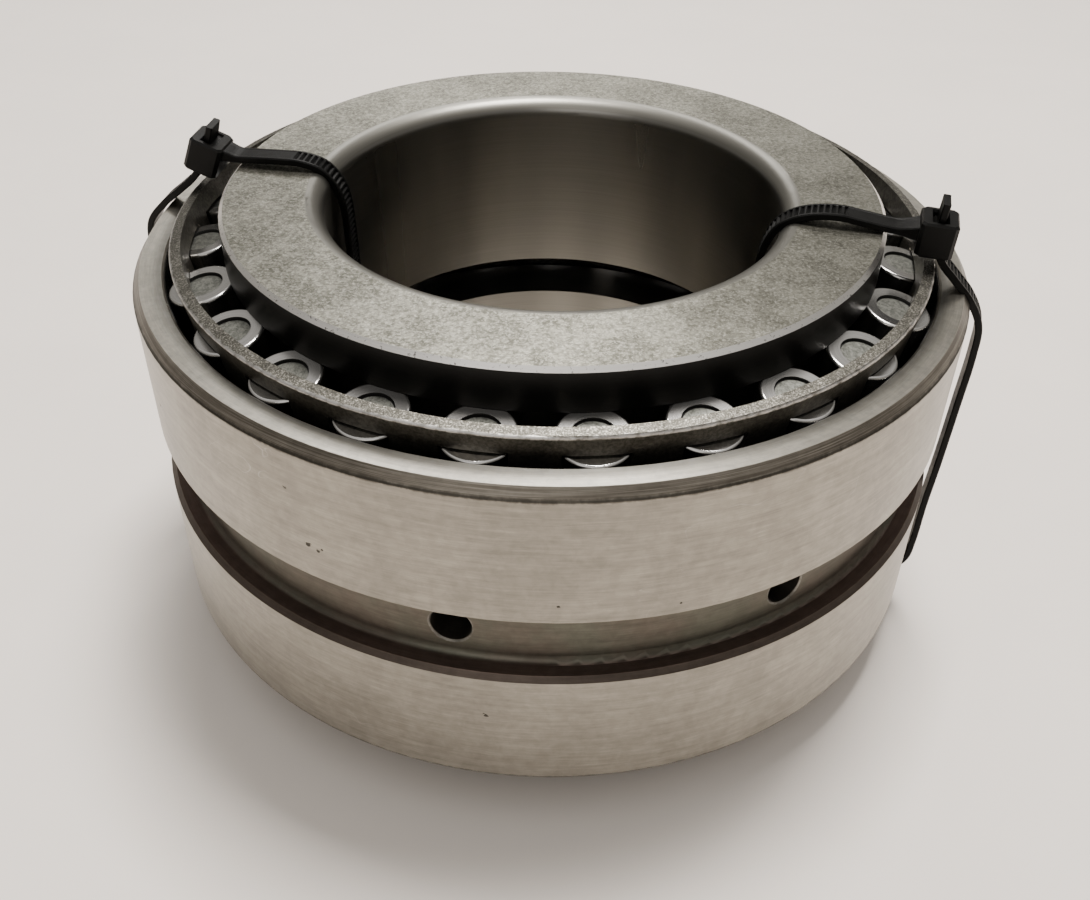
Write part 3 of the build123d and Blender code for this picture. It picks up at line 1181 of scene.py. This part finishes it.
RIGHT_TIE = CableTie(
    name="right_cable_tie", azimuth=-14.0, head_centre=(75.1, 46.4), head_lean=2.0, smooth_length=15.5,
    line=((73.2, 46.8), (70.6, 46.8), (67.2, 46.9), (62.0, 47.5), (56.8, 48.1), (52.4, 47.7), (48.6, 46.5),
          (45.6, 44.3), (43.9, 41.0), (42.9, 36.0), (42.8, 22.0), (43.2, -5.0), (43.7, -30.0), (44.5, -40.5),
          *UNDER_RINGS, (82.6, -36.9), (85.2, -33.0), (85.8, -28.0), (86.0, -17.0), (86.5, -6.0), (87.0, 10.0),
          (87.3, 22.0), (86.8, 29.0), (84.2, 33.9), (80.2, 38.2), (77.2, 41.4), (75.7, 44.6), (75.4, 49.0),
          (75.6, 53.4)))


# ---------------------------------------------------------------- the studio


@dataclass
class Studio:
    """The table, the light and the camera. Metres and degrees unless a name says otherwise."""

    effects: Effects
    table_level_mm: float = -47.4
    table_half: float = 3.0
    table_colour: Colour = (0.86, 0.80, 0.745, 1.0)
    camera_place_mm: tuple[float, float, float] = (-0.656, -217.58, 147.63)
    camera_pitch: float = 37.863
    camera_roll: float = 1.073
    lens: float = 38.22
    sensor: float = 36.0

    def build(self) -> None:
        """Builds everything round the bearing."""
        self.build_table()
        self.build_sky()
        self.add_light("key_light", (0.13, 0.24, 1.15), 0.36, 24.0, (1.0, 0.955, 0.90))
        self.add_light("back_light", (-0.10, 0.95, 0.85), 0.45, 3.5, (1.0, 0.97, 0.93))
        self.add_light("front_light", (-0.35, -1.25, 0.80), 1.0, 3.0, (1.0, 0.96, 0.92))
        self.build_camera()

    def build_table(self) -> None:
        """Lays a wide pale sheet under the bearing."""
        mesh = bmesh.new()
        bmesh.ops.create_grid(mesh, x_segments=24, y_segments=24, size=self.table_half)
        data = bpy.data.meshes.new("table")
        mesh.to_mesh(data)
        mesh.free()
        table = bpy.data.objects.new("table", data)
        table.location.z = self.table_level_mm * MM
        bpy.context.scene.collection.objects.link(table)
        coat = Coat("pale_table", self.table_colour, 0.55)
        ring = coat.graph.place(self.effects.ring)
        film = coat.graph.place(self.effects.mottle, Spot=ring["Spot"], Patch_size=60.0, Fleck_size=9.0)
        coat.shade(film["Patches"], 0.985, 1.01)
        coat.raise_by(film["Flecks"], 0.2)
        data.materials.append(coat.finish(metal=0.0, bump=0.05, depth_mm=0.05))

    def build_sky(self) -> None:
        """Makes the soft surroundings: a pale room that is darker in front and low down."""
        world = bpy.data.worlds.new("soft_room")
        bpy.context.scene.world = world
        world.use_nodes = True
        graph = Graph(world.node_tree)
        split = graph.split(graph.add("ShaderNodeTexCoord").outputs["Generated"])
        back = graph.remap(split[1], -0.5, 0.6, smooth=True)
        up = graph.remap(split[2], 0.33, 0.95, smooth=True)
        low = graph.tint(back, (0.24, 0.225, 0.205, 1.0), (0.30, 0.285, 0.26, 1.0))
        colour = graph.tint(up, low, (0.80, 0.77, 0.73, 1.0))
        graph.feed(world.node_tree.nodes["Background"].inputs["Color"], colour)
        world.node_tree.nodes["Background"].inputs["Strength"].default_value = 1.0

    @staticmethod
    def add_light(name: str, place: tuple[float, float, float], size: float, power: float,
                  colour: tuple[float, float, float]) -> None:
        """Adds a soft square light that points at the bearing.

        Args:
            name: The light's name.
            place: Where it hangs.
            size: Length of its sides.
            power: Watts.
            colour: Its colour.
        """
        data = bpy.data.lights.new(name, "AREA")
        data.shape, data.size, data.energy, data.color = "SQUARE", size, power, colour
        light = bpy.data.objects.new(name, data)
        light.location = place
        light.rotation_euler = (-Vector(place)).to_track_quat("-Z", "Y").to_euler()
        bpy.context.scene.collection.objects.link(light)

    def build_camera(self) -> None:
        """Sets the camera in front of the bearing, above it, looking down."""
        data = bpy.data.cameras.new("camera")
        data.lens, data.sensor_width = self.lens, self.sensor
        data.clip_start, data.clip_end = 0.01, 20.0
        camera = bpy.data.objects.new("camera", data)
        pitch = Matrix.Rotation(math.radians(90 - self.camera_pitch), 4, "X")
        roll = Matrix.Rotation(math.radians(self.camera_roll), 4, "Z")
        place = Matrix.Translation(Vector(self.camera_place_mm) * MM)
        camera.matrix_world = place @ pitch @ roll
        bpy.context.scene.collection.objects.link(camera)
        bpy.context.scene.camera = camera


def main() -> None:
    """Builds the bearing's looks piece by piece, then the studio."""
    logging.basicConfig(level=logging.INFO, format="%(name)s: %(message)s")
    effects = Effects()
    Cup(effects).build()
    for row in Row:
        for part in (Cone, Cage, RollerRow):
            part(effects, row).build()
    nylon = Nylon().material(effects)
    for tie in (LEFT_TIE, RIGHT_TIE):
        tie.build(nylon)
    Studio(effects).build()


if __name__ == "__main__":
    main()
